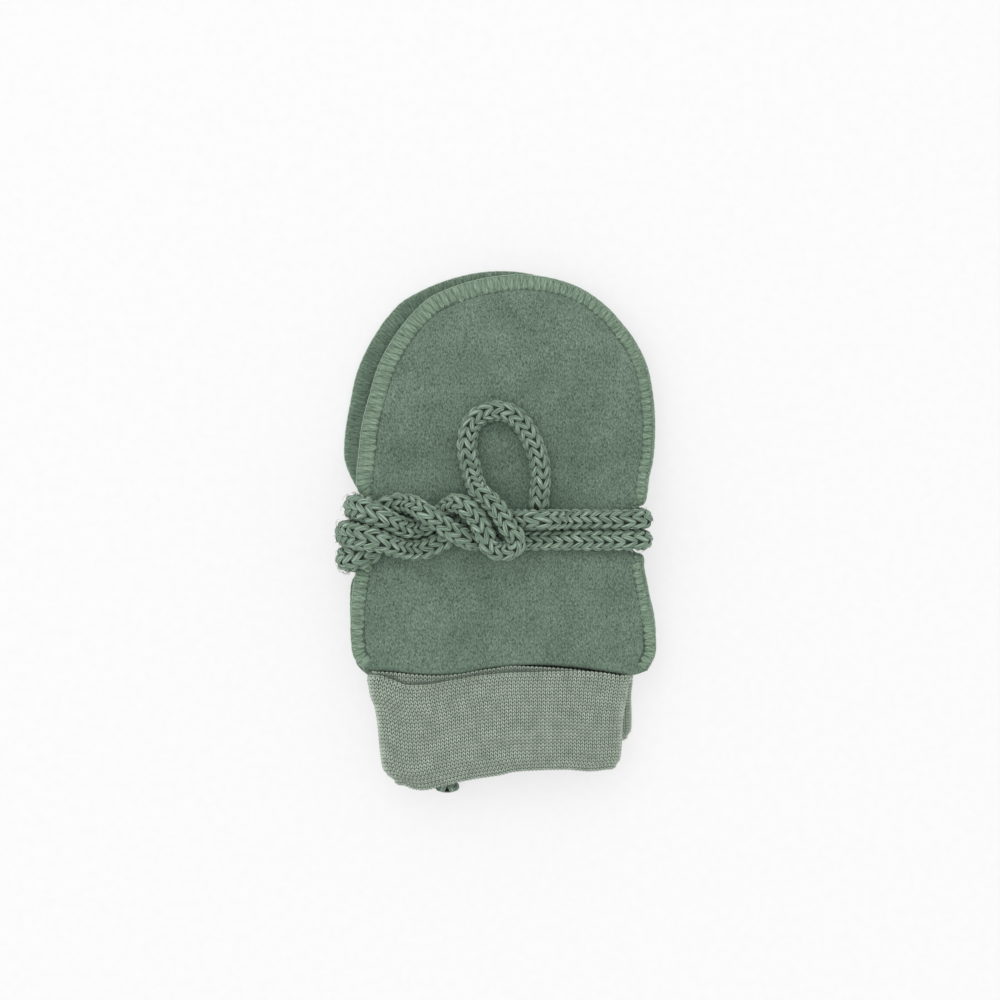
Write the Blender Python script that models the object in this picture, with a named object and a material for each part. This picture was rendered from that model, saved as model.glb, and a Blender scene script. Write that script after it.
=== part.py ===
"""A pair of baby mittens lying flat, one on the other, tied together with their knitted cord.

Metres, +Z up, origin at the middle of the footprint on the surface they lie on; fingers point to +Y.
Each mitten is a front and a back panel without a thumb and a knitted cuff turned up on itself.
The cord leaves the lower cuff, goes twice round the pair and is tied on top in a half bow.
Lengths in the tables and named sizes are millimetres.
"""

import math

import bmesh
import bpy
import numpy as np

MM = 0.001

# Cloth
PANEL_WALL = 2.0
PANEL_LENGTH = 105.0
LAYER_GAP = 0.3
MITTEN_GAP = 0.65
CUFF_WALL = 1.2
PANEL_COLUMNS = 18
# Rows of the panels, from the hem: how many, and where along the sides they end
PANEL_BANDS = [(4, 0.20), (16, 0.50), (10, 1.00)]
CUFF_RUN = 15
CUFF_SIDE = 4
CUFF_STEPS = 7
FOLD_STEPS = 4
LIP = 0.4

# Cord
CORD_WIDTH = 5.5
CORD_CLEAR = 0.5
CORD_TURN = math.radians(33)
CORD_STRETCH = 15.0
CORD_SAMPLES = 1200

# The puff of the pile, and how far cloth takes to come down beside a strand under it
PUFF = 5.8
LIFT = CORD_WIDTH + CORD_CLEAR
LIFT_CORE = 4.6
LIFT_FALL = 18.0
PUFF_SOFT = 1.0
TIE_PRESS = 1.4
# Where the puff dies away: across the hand, narrower at the wrist, and up into the rounded tip
PUFF_MIDDLE = 0.8
PUFF_HALF = 41.5
WRIST_NARROW = 6.0
WRIST_TOP = -30.0
WRIST_FADE = 12.0
TIP_START = 38.0
TIP_LENGTH = 32.5
PUFF_POWER = 4

# How the lower mitten lies against the upper one
LOWER_TURN = math.radians(5.0)
LOWER_PIVOT = (-12.5, -24.8)
LOWER_SHIFT = -0.3
# How the tie pinches the lower mitten's two edges: side, depth, middle, half height, how far it fades
PINCHES = [(-1, 5.8, 3.0, 1.5, 17.0), (1, 2.2, -3.0, 3.0, 4.0)]
PINCH_REACH = 38.0
# How much shorter its cuff is on the left and on the right, and how far to the right it lies
LOWER_CUFF_SHORT = (1.6, 3.4)
LOWER_CUFF_SHIFT = 0.7
HEM_RISE_LENGTH = 14.0

# Upper mitten, the four sides of a panel: x, y
HEM = [
    (-37.7, -38.2), (-29.2, -38.8), (-20.1, -39.6), (-11.3, -39.3), (-2.2, -37.7),
    (8.0, -36.9), (21.5, -37.7), (30.5, -39.1), (36.6, -39.9), (40.2, -38.8),
]
LEFT_SIDE = [
    (-37.7, -38.2), (-40.4, -35.2), (-41.3, -30.3), (-41.3, -23.4), (-40.8, -17.4), (-40.2, -13.2),
    (-39.7, -11.3), (-38.2, -9.2), (-37.9, -3.0), (-37.0, 3.0), (-36.6, 6.8), (-38.3, 9.4), (-39.5, 11.5),
    (-39.7, 15.0), (-39.3, 20.4),
    (-38.5, 28.1), (-36.1, 37.7), (-33.7, 45.4), (-29.5, 53.1), (-25.0, 59.1),
]
TOP_SIDE = [
    (-25.0, 59.1), (-19.5, 64.1), (-14.9, 66.3), (-5.2, 69.3), (5.5, 70.4),
    (15.7, 69.0), (22.1, 66.6), (28.2, 62.4), (30.9, 59.9),
]
RIGHT_SIDE = [
    (40.2, -38.8), (42.4, -34.4), (42.6, -29.2), (41.5, -21.5), (40.0, -13.8), (39.2, -10.0), (39.0, -7.1),
    (36.2, -5.7), (34.8, -3.2), (34.7, 3.2), (35.9, 5.8), (39.3, 7.3), (40.1, 10.2), (40.6, 14.0),
    (41.8, 19.0), (42.4, 25.6), (41.8, 37.7), (40.2, 45.4), (36.7, 52.5), (30.9, 59.9),
]

# Upper cuff: share of the way across, y of the seam to the panels, of the turned-up edge, of the fold
CUFF_LINES = [
    (0.00, -39.0, -40.4, -70.0), (0.05, -39.1, -41.5, -71.0), (0.11, -39.4, -42.8, -71.1),
    (0.18, -39.8, -42.8, -70.2), (0.31, -39.6, -41.4, -68.5), (0.47, -38.0, -39.9, -67.2),
    (0.60, -37.3, -39.4, -65.9), (0.75, -37.9, -39.4, -65.6), (0.92, -39.4, -39.9, -66.1),
    (1.00, -40.2, -40.8, -65.7),
]
# Upper cuff: share of the way from the turned-up edge to the fold, left x, right x
CUFF_SIDES = [
    (0.00, -35.9, 35.4), (0.08, -36.6, 35.2), (0.17, -36.2, 34.8), (0.31, -34.8, 34.3),
    (0.50, -34.0, 33.6), (0.69, -33.5, 33.4), (0.85, -32.9, 33.1), (0.94, -31.6, 32.8), (1.00, -29.4, 31.8),
]

# The cord's route: x, y, height. It starts at the lower cuff's mouth.
CORD_ROUTE = [
    (-14.9, -73.0, 2.8), (-15.1, -61.1, 2.8), (-16.5, -48.1, 2.8), (-19.5, -34.4, 2.8),
    (-24.8, -23.4, 2.8), (-31.6, -13.6, 2.8), (-37.4, -9.0, 2.9),
    # lowest strand round the left edge, under the two others, then over them into the knot
    (-41.0, -8.1, 4.6), (-42.7, -7.8, 10.5), (-41.6, -7.7, 16.0), (-38.0, -6.9, 18.4),
    (-34.8, -4.8, 18.2), (-33.8, -0.8, 18.2), (-33.6, 2.8, 18.2), (-32.2, 5.8, 18.2),
    (-29.4, 7.2, 18.2), (-26.2, 7.2, 18.6), (-23.0, 6.3, 21.4), (-20.5, 4.6, 24.0), (-17.0, 2.4, 24.3),
    (-13.5, -0.2, 24.2), (-10.6, -1.8, 23.5), (-8.6, -2.7, 21.6), (-6.7, -2.9, 19.3), (-4.4, -2.8, 18.4), (-1.0, -2.7, 18.2),
    (7.0, -2.7, 18.2),
    # lower strand to the right edge and back beneath
    (20.0, -2.7, 18.2), (30.0, -2.7, 18.6), (34.4, -2.7, 18.7), (38.1, -2.7, 16.8), (38.8, -2.7, 13.6),
    (38.8, -2.6, 9.0), (38.1, -2.4, 5.0), (34.4, -2.1, 2.9), (30.0, -1.9, 2.8), (-11.0, -0.9, 2.8),
    (-32.0, -0.9, 2.8), (-36.0, -0.9, 2.8), (-39.0, -0.9, 3.0),
    # middle strand round the left edge, over the lowest, under the upper one into the knot
    (-41.8, -0.9, 4.9), (-42.9, -0.9, 10.2), (-42.3, -1.0, 16.4), (-39.8, -1.4, 21.2),
    (-36.6, -2.0, 23.8), (-33.4, -2.8, 24.2), (-30.2, -4.0, 22.4), (-27.0, -5.0, 19.6), (-24.0, -5.4, 18.2),
    (-20.4, -5.0, 18.2), (-17.0, -3.4, 18.2), (-13.6, -1.0, 18.2), (-10.9, 1.4, 18.2), (-8.0, 2.8, 18.2),
    (-4.0, 2.9, 18.2), (0.5, 2.9, 18.2), (3.5, 2.9, 18.9),
    # upper strand over the end of the bow, to the right edge and back beneath
    (6.9, 2.9, 22.4), (10.2, 2.9, 24.5), (13.8, 2.9, 22.6), (17.2, 2.9, 19.2), (21.5, 2.9, 18.3),
    (30.0, 2.9, 18.7), (34.4, 2.9, 19.0), (38.2, 2.9, 17.0), (38.8, 3.0, 13.6), (38.8, 3.2, 9.0),
    (38.1, 3.5, 5.0), (34.4, 3.9, 2.9), (30.0, 4.3, 2.8), (-11.0, 5.8, 2.8), (-32.0, 6.0, 2.8),
    (-35.0, 6.0, 2.8), (-37.8, 6.0, 3.1),
    # top strand round the left edge, down between the others, up and over the knot
    (-39.9, 6.1, 5.4), (-40.6, 6.2, 9.8), (-40.2, 6.2, 15.2), (-38.9, 6.2, 19.9), (-36.1, 5.3, 23.2),
    (-32.8, 3.8, 24.2), (-29.6, 2.2, 22.9), (-26.6, 0.8, 20.2), (-23.6, 0.5, 18.4), (-20.8, 1.2, 18.2),
    (-17.6, 3.4, 18.2), (-15.2, 5.6, 18.8), (-13.2, 7.0, 21.0), (-11.0, 7.2, 23.6), (-8.8, 5.6, 24.9),
    (-6.4, 3.0, 25.1), (-5.0, 0.3, 25.3), (-4.0, -2.0, 25.2), (-3.2, -3.9, 24.6), (-1.8, -5.2, 24.0), (0.3, -5.6, 23.7),
    (2.5, -5.2, 24.0), (3.9, -3.6, 24.6), (3.7, -1.6, 25.2), (2.2, 0.5, 25.4),
    # back over the knot into the loop of the bow, whose end lies under the upper strand
    (0.7, 3.0, 25.1), (-1.3, 6.1, 24.9), (-3.8, 8.7, 24.0), (-6.0, 10.5, 22.0), (-7.2, 13.4, 19.3),
    (-8.2, 17.0, 18.2), (-9.1, 21.0, 18.2), (-9.2, 24.8, 18.2), (-8.0, 29.0, 18.2), (-4.7, 31.9, 18.2),
    (-0.6, 32.7, 18.2), (3.6, 31.2, 18.2), (6.9, 27.3, 18.2), (9.4, 22.2, 18.2), (10.7, 17.0, 18.2),
    (10.8, 13.0, 18.2), (10.4, 9.2, 18.2), (10.4, 6.6, 18.2), (10.4, 4.4, 18.2),
]

WOOL = "brushed wool knit"
RIB = "fine rib knit"
CORD = "knitted wool cord"
FINISHES = {
    WOOL: ((0.128, 0.190, 0.146), 0.95),
    RIB: ((0.235, 0.290, 0.232), 0.9),
    CORD: ((0.150, 0.215, 0.168), 0.92),
}


def clear_scene():
    for thing in list(bpy.data.objects):
        bpy.data.objects.remove(thing, do_unlink=True)


def material(name):
    made = bpy.data.materials.get(name)
    if made:
        return made
    colour, roughness = FINISHES[name]
    made = bpy.data.materials.new(name)
    made.use_nodes = True
    shader = made.node_tree.nodes["Principled BSDF"]
    shader.inputs["Base Color"].default_value = (*colour, 1.0)
    shader.inputs["Roughness"].default_value = roughness
    shader.inputs["Metallic"].default_value = 0.0
    return made


def smooth_through(points, shares):
    """Points at these shares (0 to 1) of a smooth curve through the given ones, spaced by its length."""
    knots = np.array(points, float)
    spans = np.linalg.norm(np.diff(knots, axis=0), axis=1)[:, None]
    runs = np.diff(knots, axis=0) / spans
    slopes = (runs[:-1] * spans[1:] + runs[1:] * spans[:-1]) / (spans[:-1] + spans[1:])
    slopes = np.vstack([runs[:1], slopes, runs[-1:]])
    local = np.linspace(0, 1, 12, endpoint=False)[:, None]
    pieces = []
    for start, stop, slope_in, slope_out, span in zip(knots, knots[1:], slopes, slopes[1:], spans):
        rise = stop - start
        pieces.append(
            start
            + slope_in * span * local
            + (3 * rise - (2 * slope_in + slope_out) * span) * local**2
            + ((slope_in + slope_out) * span - 2 * rise) * local**3
        )
    fine = np.vstack([*pieces, knots[-1:]])
    length = np.concatenate([[0], np.cumsum(np.linalg.norm(np.diff(fine, axis=0), axis=1))])
    wanted = np.asarray(shares) * length[-1]
    return np.column_stack([np.interp(wanted, length, column) for column in fine.T])


def ease(value):
    """0 at 0 and below, 1 at 1 and above, level at both."""
    value = np.clip(value, 0, 1)
    return value * value * (3 - 2 * value)


def distance_to_path(x, y, path):
    """How far (x, y) lies in plan from a broken line."""
    start = path[:-1, :2]
    along = path[1:, :2] - start
    point = np.array([x, y])
    share = ((point - start) * along).sum(1) / np.maximum((along**2).sum(1), 1e-9)
    nearest = start + np.clip(share, 0, 1)[:, None] * along
    return np.sqrt(((nearest - point) ** 2).sum(1).min())


def strands_beneath():
    """The stretches of the cord that the pair lies on."""
    height = np.array([point[2] for point in CORD_ROUTE])
    low = height < CORD_WIDTH
    stretches = []
    run = []
    for point, is_low in zip(CORD_ROUTE, low):
        if is_low:
            run.append(point)
        elif run:
            stretches.append(np.array(run))
            run = []
    return stretches


BENEATH = strands_beneath()


def lift(x, y):
    """How high a strand beneath holds the cloth over (x, y)."""
    near = min(distance_to_path(x, y, path) for path in BENEATH)
    return LIFT * (1 - ease((near - LIFT_CORE) / LIFT_FALL))


def puff(x, y):
    """How much further the layers spread apart over (x, y), none at the seams and under the tie."""
    half_width = PUFF_HALF - WRIST_NARROW * ease((WRIST_TOP - y) / WRIST_FADE)
    dome = max(0.0, y - TIP_START) / TIP_LENGTH
    reach = math.hypot((x - PUFF_MIDDLE) / half_width, dome)
    spare = PUFF * max(0.0, 1 - reach**PUFF_POWER) - TIE_PRESS * lift(x, y)
    return 0.5 * (spare + math.hypot(spare, PUFF_SOFT))


def to_lower(x, y):
    """A point of the upper mitten's shape, as the lower mitten has it."""
    x -= LOWER_PIVOT[0]
    y -= LOWER_PIVOT[1]
    turned_x = x * math.cos(LOWER_TURN) - y * math.sin(LOWER_TURN) + LOWER_PIVOT[0] + LOWER_SHIFT
    turned_y = x * math.sin(LOWER_TURN) + y * math.cos(LOWER_TURN) + LOWER_PIVOT[1]
    pinched_x = turned_x
    for side, depth, middle, half, fade in PINCHES:
        beside = ease((abs(turned_y - middle) - half) / fade)
        pinched_x -= side * depth * (1 - beside) * ease(side * turned_x / PINCH_REACH)
    return pinched_x, turned_y


def row_places():
    """How far along the sides each row of a panel lies: closer together at the tie."""
    places = [0.0]
    for count, stop in PANEL_BANDS:
        places += list(np.linspace(places[-1], stop, count + 1)[1:])
    return np.array(places)


def panel_plan():
    """A grid of (x, y) over one panel, from its four sides: rows from the hem to the tip."""
    across = np.linspace(0, 1, PANEL_COLUMNS + 1)
    along = row_places()
    hem = smooth_through(HEM, across)
    top = smooth_through(TOP_SIDE, across)
    left = smooth_through(LEFT_SIDE, along)
    right = smooth_through(RIGHT_SIDE, along)
    u = across[None, :, None]
    v = along[:, None, None]
    sides = (1 - u) * left[:, None] + u * right[:, None]
    ends = (1 - v) * hem[None] + v * top[None]
    corners = (1 - v) * ((1 - u) * hem[0] + u * hem[-1]) + v * ((1 - u) * top[0] + u * top[-1])
    return sides + ends - corners


def finish_object(name, bm, finish, collection):
    bmesh.ops.recalc_face_normals(bm, faces=bm.faces)
    mesh = bpy.data.meshes.new(name)
    bm.to_mesh(mesh)
    bm.free()
    mesh.shade_smooth()
    mesh.materials.append(material(finish))
    made = bpy.data.objects.new(name, mesh)
    collection.objects.link(made)
    return made


def grid_mesh(columns, rows):
    """A bmesh grid and its vertices in order, a row at a time."""
    bm = bmesh.new()
    bmesh.ops.create_grid(bm, x_segments=columns, y_segments=rows, size=1.0)
    ordered = sorted(bm.verts, key=lambda vert: (round(vert.co.y, 6), round(vert.co.x, 6)))
    return bm, ordered


def make_panel(name, is_lower, layer, spread, rise, collection):
    """One panel: its underside follows what it lies on, and the wall stands straight up from it."""
    plan = panel_plan().reshape(-1, 2)
    hem_reach = np.repeat(row_places(), PANEL_COLUMNS + 1) * PANEL_LENGTH
    bm, verts = grid_mesh(PANEL_COLUMNS, len(row_places()) - 1)
    for vert, (x, y), reach in zip(verts, plan, hem_reach):
        if is_lower:
            x, y = to_lower(x, y)
        z = lift(x, y) + spread * puff(x, y) + layer + rise * (1 - ease(reach / HEM_RISE_LENGTH))
        vert.co = (x * MM, y * MM, z * MM)
    lower_skin = bm.faces[:]
    upper = bmesh.ops.extrude_face_region(bm, geom=lower_skin, use_keep_orig=True)
    upper_verts = [item for item in upper["geom"] if isinstance(item, bmesh.types.BMVert)]
    bmesh.ops.translate(bm, vec=(0, 0, PANEL_WALL * MM), verts=upper_verts)
    return finish_object(name, bm, WOOL, collection)


def half_turn(radius, start, steps):
    """(along, out) of the points between the ends of a half circle, turning outwards from start."""
    angles = np.linspace(0, math.pi, steps + 2)[1:-1]
    return [(radius * math.sin(angle), start + radius * (1 - math.cos(angle))) for angle in angles]


def cuff_section():
    """The closed outline of the turned-up wall, along the cuff and out from its middle.

    Each point: which run it is on (inner, fold or outer), its place there, and how far out it is.
    """
    half = CUFF_WALL / 2
    outer_near = half + LAYER_GAP
    outer_far = outer_near + CUFF_WALL
    fold_big = (outer_far + half) / 2
    fold_small = LAYER_GAP / 2
    inner_run = np.linspace(0, 1, CUFF_STEPS)
    outer_run = np.linspace(1, 0, CUFF_STEPS)
    outline = [("inner", share, -half) for share in inner_run]
    outline += [("fold", depth, out) for depth, out in half_turn(fold_big, -half, FOLD_STEPS)]
    outline += [("outer", share, outer_far) for share in outer_run]
    outline += [("lip", LIP, (outer_far + outer_near) / 2)]
    outline += [("outer", share, outer_near) for share in outer_run[::-1]]
    outline += [("fold", fold_small, half + fold_small)]
    outline += [("inner", share, half) for share in inner_run[::-1]]
    return outline


def ring_around(out, core):
    """The flattened tube's section: share across its flat run, distance past it, height.

    core is the half height of the wall's middle surface.
    """
    radius = core + out
    ring = []
    for share in np.linspace(0, 1, CUFF_RUN):
        ring.append((share, 0.0, radius))
    for angle in np.linspace(0, math.pi, CUFF_SIDE + 2)[1:-1]:
        ring.append((1.0, radius * math.sin(angle), radius * math.cos(angle)))
    for share in np.linspace(1, 0, CUFF_RUN):
        ring.append((share, 0.0, -radius))
    for angle in np.linspace(0, math.pi, CUFF_SIDE + 2)[1:-1]:
        ring.append((0.0, -radius * math.sin(angle), -radius * math.cos(angle)))
    return ring


def make_cuff(name, is_lower, middle, spread_back, spread_front, collection):
    """A knitted tube, flat, turned up over itself: one closed wall with a U section."""
    core = CUFF_WALL / 2 + LAYER_GAP / 2
    far = core + CUFF_WALL * 1.5 + LAYER_GAP
    section = cuff_section()
    count = len(ring_around(0.0, core))
    lines = np.array(CUFF_LINES)
    sides = np.array(CUFF_SIDES)
    bm, verts = grid_mesh(count, len(section))
    rows = len(section) + 1
    for row in range(rows):
        run, place, out = section[row % len(section)]
        for column in range(count + 1):
            share, past, height = ring_around(out, core)[column % count]
            seam, edge, fold = (np.interp(share, lines[:, 0], lines[:, i]) for i in (1, 2, 3))
            if is_lower:
                fold += LOWER_CUFF_SHORT[0] + (LOWER_CUFF_SHORT[1] - LOWER_CUFF_SHORT[0]) * share
            fold += CUFF_WALL + LAYER_GAP / 2
            start = edge if run in ("outer", "lip") else seam
            if run == "fold":
                y = fold - place
            elif run == "lip":
                y = edge + place
            else:
                y = start + (fold - start) * place
            down = np.clip((y - edge) / (fold - edge), 0, 1)
            left, right = (np.interp(down, sides[:, 0], sides[:, i]) for i in (1, 2))
            x = left + far + share * (right - left - 2 * far) + past
            if is_lower:
                x, y = to_lower(x + LOWER_CUFF_SHIFT, y)
            front = 0.5 + 0.5 * height / (core + out)
            spread = spread_back + (spread_front - spread_back) * front
            z = lift(x, y) + spread * puff(x, y) + middle + height
            verts[row * (count + 1) + column].co = (x * MM, y * MM, z * MM)
    bmesh.ops.remove_doubles(bm, verts=bm.verts, dist=1e-6)
    return finish_object(name, bm, RIB, collection)


def cord_path():
    """Points on the smooth curve through the route: close together in bends, further apart between."""
    fine = smooth_through(CORD_ROUTE, np.linspace(0, 1, CORD_SAMPLES))
    kept = [fine[0]]
    heading = fine[1] - fine[0]
    for point, after in zip(fine[1:-1], fine[2:]):
        going = after - point
        turn = going @ heading / (np.linalg.norm(going) * np.linalg.norm(heading))
        if np.linalg.norm(point - kept[-1]) > CORD_STRETCH or turn < math.cos(CORD_TURN):
            kept.append(point)
            heading = going
    kept.append(fine[-1])
    return kept


def make_cord(collection):
    curve = bpy.data.curves.new("tie_cord", "CURVE")
    curve.dimensions = "3D"
    curve.bevel_depth = CORD_WIDTH / 2 * MM
    curve.bevel_resolution = 2
    curve.use_fill_caps = True
    points = cord_path()
    spline = curve.splines.new("POLY")
    spline.points.add(len(points) - 1)
    for place, point in zip(spline.points, points):
        place.co = (*(point * MM), 1.0)
    curve.materials.append(material(CORD))
    made = bpy.data.objects.new("tie_cord", curve)
    collection.objects.link(made)
    return made


def build():
    clear_scene()
    mittens = bpy.data.collections.new("baby_mittens")
    bpy.context.scene.collection.children.link(mittens)
    step = PANEL_WALL + LAYER_GAP
    cuff_height = 4 * CUFF_WALL + 3 * LAYER_GAP
    upper_panels = 2 * step - LAYER_GAP + MITTEN_GAP
    lower_middle = cuff_height / 2
    upper_middle = lower_middle + cuff_height + MITTEN_GAP
    lower_rise = lower_middle - (step + PANEL_WALL) / 2
    upper_rise = upper_middle - upper_panels - (step + PANEL_WALL) / 2
    make_panel("lower_back_panel", True, 0.0, 0, lower_rise, mittens)
    make_panel("lower_front_panel", True, step, 1 / 3, lower_rise, mittens)
    make_panel("upper_back_panel", False, upper_panels, 2 / 3, upper_rise, mittens)
    make_panel("upper_front_panel", False, upper_panels + step, 1, upper_rise, mittens)
    make_cuff("lower_cuff", True, lower_middle, 0, 1 / 3, mittens)
    make_cuff("upper_cuff", False, upper_middle, 2 / 3, 1, mittens)
    make_cord(mittens)


build()
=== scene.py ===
"""The looks of a pair of baby mittens lying flat, one on the other, tied together with their knitted cord.

Brushed wool knit panels with an overlock edge, fine knit cuffs turned up, and a round knitted cord.
Lengths in the tables and named sizes are millimetres; meshes are in metres, in the frame of the solids.
"""

import math
from functools import partial

import bmesh
import bpy
import numpy as np
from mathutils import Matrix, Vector, noise


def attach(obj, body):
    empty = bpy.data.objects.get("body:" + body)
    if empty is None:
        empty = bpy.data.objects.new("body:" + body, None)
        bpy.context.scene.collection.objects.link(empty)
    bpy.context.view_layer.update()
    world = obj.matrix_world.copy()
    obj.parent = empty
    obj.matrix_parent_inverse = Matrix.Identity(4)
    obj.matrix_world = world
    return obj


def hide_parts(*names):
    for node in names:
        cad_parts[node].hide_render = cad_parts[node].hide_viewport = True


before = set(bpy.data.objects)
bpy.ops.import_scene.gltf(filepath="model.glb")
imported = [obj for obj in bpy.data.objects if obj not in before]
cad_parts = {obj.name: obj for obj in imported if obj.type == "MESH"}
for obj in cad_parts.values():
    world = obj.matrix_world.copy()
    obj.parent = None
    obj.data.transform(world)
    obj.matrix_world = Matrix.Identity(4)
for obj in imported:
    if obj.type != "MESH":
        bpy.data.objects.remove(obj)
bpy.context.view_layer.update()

MM = 0.001

# Camera, straight above
CAMERA_HEIGHT = 950.0
CAMERA_AIM = (-0.3, 8.25)
FRAME_WIDTH = 275.0
SUBJECT_HEIGHT = 12.0
SENSOR = 36.0

# Light: the world, the softbox (its place and size in metres), and the white table's own glow, painted light that
# softens the shadows on it
WORLD_LIGHT = 0.86
SOFTBOX_POWER = 9.0
SOFTBOX_PLACE = (-0.3, 0.35, 1.6)
SOFTBOX_SIZE = 1.6
FLOOR_GLOW = 0.64
FLOOR_HALF = 4000.0
FLOOR_DROP = 0.05

# Cloth, as in the solids
PANEL_WALL = 2.0
PANEL_WIDTH = 80.0
PANEL_LENGTH = 105.0
LAYER_GAP = 0.3
MITTEN_GAP = 0.65
CUFF_WALL = 1.2
# A panel's rim: its radius, and how far in from the edge its rows of points lie
RIM = 1.0
RIM_STEPS = (0.0, 0.12, 0.35, 0.7, 1.1, 1.7)

# Cord: width, clearance, points read along it, knit and core, round ends, flare at the start
CORD_WIDTH = 5.5
CORD_CLEAR = 0.5
CORD_POINTS = 2400
CORD_WALES = 4
CORD_ROW = 2.8
CORD_CORE = 1.8
CORD_FLUFF = 0.22
CORD_END_ROUND = 1.1
CORD_FLARE = 0.22
CORD_FLARE_LENGTH = 7.0
# How much wider it is pressed round the left edge of the pair, and where that begins
CORD_PRESS = 0.28
CORD_PRESS_FROM = 30.0
CORD_PRESS_FADE = 6.0
# How near a bend's centre the knit reaches before it is squeezed, how much further it goes, how softly
BEND_FROM = 0.75
BEND_REST = 0.25
BEND_SOFT = 0.5
# Stray fibres: radius, number drawn, share kept away from the left edge, how far they wander round and along the
# cord, how far out they start, and the least and the spread of their rise
FIBRE = 0.03
FIBRE_DRAWS = 1900
FIBRE_KEPT = 0.2
FIBRE_WANDER = (1.3, 1.1)
FIBRE_START = 0.55
FIBRE_RISE = (0.3, 1.0)

# Lie of the layers, as in the solids: the puff's height and softness; how high a strand beneath lifts the layers,
# how much puff this takes away, how far its top reaches and how far it falls off
PUFF = 5.8
PUFF_SOFT = 1.0
LIFT = CORD_WIDTH + CORD_CLEAR
TIE_PRESS = 1.4
LIFT_CORE = 4.6
LIFT_FALL = 18.0
# Where the puff dies away: across the hand, narrower at the wrist, and up into the rounded tip
PUFF_MIDDLE = 0.8
PUFF_HALF = 41.5
WRIST_NARROW = 6.0
WRIST_TOP = -30.0
WRIST_FADE = 12.0
TIP_START = 38.0
TIP_LENGTH = 32.5
PUFF_POWER = 4
# How the lower mitten is turned about a point of its wrist, and shifted sideways
LOWER_TURN = math.radians(5.0)
LOWER_PIVOT = (-12.5, -24.8)
LOWER_SHIFT = -0.3
# How the tie pinches the lower mitten's two edges: side, depth, middle, half height, how far it fades
PINCHES = [(-1, 5.8, 3.0, 1.5, 17.0), (1, 2.2, -3.0, 3.0, 4.0)]
PINCH_REACH = 38.0
# How much shorter its cuff is on the left and on the right, and how far to the right it lies
LOWER_CUFF_SHORT = (1.6, 3.4)
LOWER_CUFF_SHIFT = 0.7
# How far from the hem the panels meet the cuff's height
HEM_RISE_LENGTH = 14.0

# Cuff knit: the size of a stitch, how many lie over the front and round a side, how deep they sit
CUFF_WALE = 1.17
CUFF_ROW = 1.03
FRONT_WALES = 56
SIDE_WALES = 8
STITCH_SINK = 0.3
# How far the cloth lies under the solid's surface, to leave room for them
CUFF_SINK = 0.35
# Lengths of the cuff's runs from the seam and from the turned-up edge, and the share of the fold with knit
INNER_RUN = 28.0
OUTER_RUN = 27.0
FOLD_SHARE = 0.75
# How much the turned-up edge rolls out, over what length, the radius of its lip, and how many rows go over it
CUFF_ROLL = 0.9
CUFF_ROLL_LENGTH = 2.6
CUFF_LIP = 0.55
LIP_ROWS = 2
# How much wider the lip is on the right, from what share of the way across, and over how much of it
LIP_RIGHT = 0.8
LIP_RIGHT_FROM = 0.55
LIP_RIGHT_FADE = 0.3
# The strip between hem and lip: its rows, how far they stand out, and their rise to the hem
STRIP_ROWS = 4
STRIP_OUT = 0.1
STRIP_RISE = 0.8
STRIP_RISE_LENGTH = 1.6
# The bare groove under the lip: its width, how far its stitches sink, where it begins and fades
GROOVE_WIDTH = 0.55
GROOVE_SINK = 0.6
GROOVE_FROM = 0.3
GROOVE_FADE = 0.25
GROOVE_HEM_FADE = 1.3

# Overlock edge: the pitch of its stitches, their half width, height on the left and on the right, and lean
STITCH = 1.95
STITCH_WIDE = 0.92
STITCH_HIGH = (0.34, 0.22)
STITCH_LEAN = 0.16
# The radii of the purl and needle threads, and how far apart the points read along the edge are
PURL = 0.17
NEEDLE = 0.15
SEAM_SPACING = 0.5
# How far the panels' edge is tucked in under the stitches, how wide, and where this stops near the hem
EDGE_TUCK = 0.45
TUCK_WIDTH = 3.0
TUCK_HEM_FROM = 0.5
TUCK_HEM_FADE = 2.0
# How far the stitches press the cloth down, from where and how softly; the dents of the needle line
EDGE_PRESS = 0.55
EDGE_PRESS_FROM = 0.3
EDGE_PRESS_FADE = 1.6
NEEDLE_DENT = 0.35
NEEDLE_DENT_WIDTH = 0.55
# How the stitches wrap the edge: no nearer to it, squeezed by, and rounded over
WRAP_CLEAR = 0.8
WRAP_SQUEEZE = 0.5
WRAP_ROUND = 1.5
# The brushed surface's slow unevenness: its grain, its height, and how far from the rim it is full
PILE_GRAIN = 0.16
PILE_HEIGHT = 0.22
PILE_FADE = 6.0
# How far in the needle line runs: place along the seam from the left wrist corner, distance from the edge
BITES = [(0.0, 3.6), (30.0, 4.0), (50.0, 4.6), (125.0, 4.6), (160.0, 3.6), (270.0, 3.2)]

# Where the edge would run past the tie if the cord did not pull it in, and how far from the tie it is pulled
TIE_EDGE = 39.3
TIE_REACH = 12.0

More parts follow.
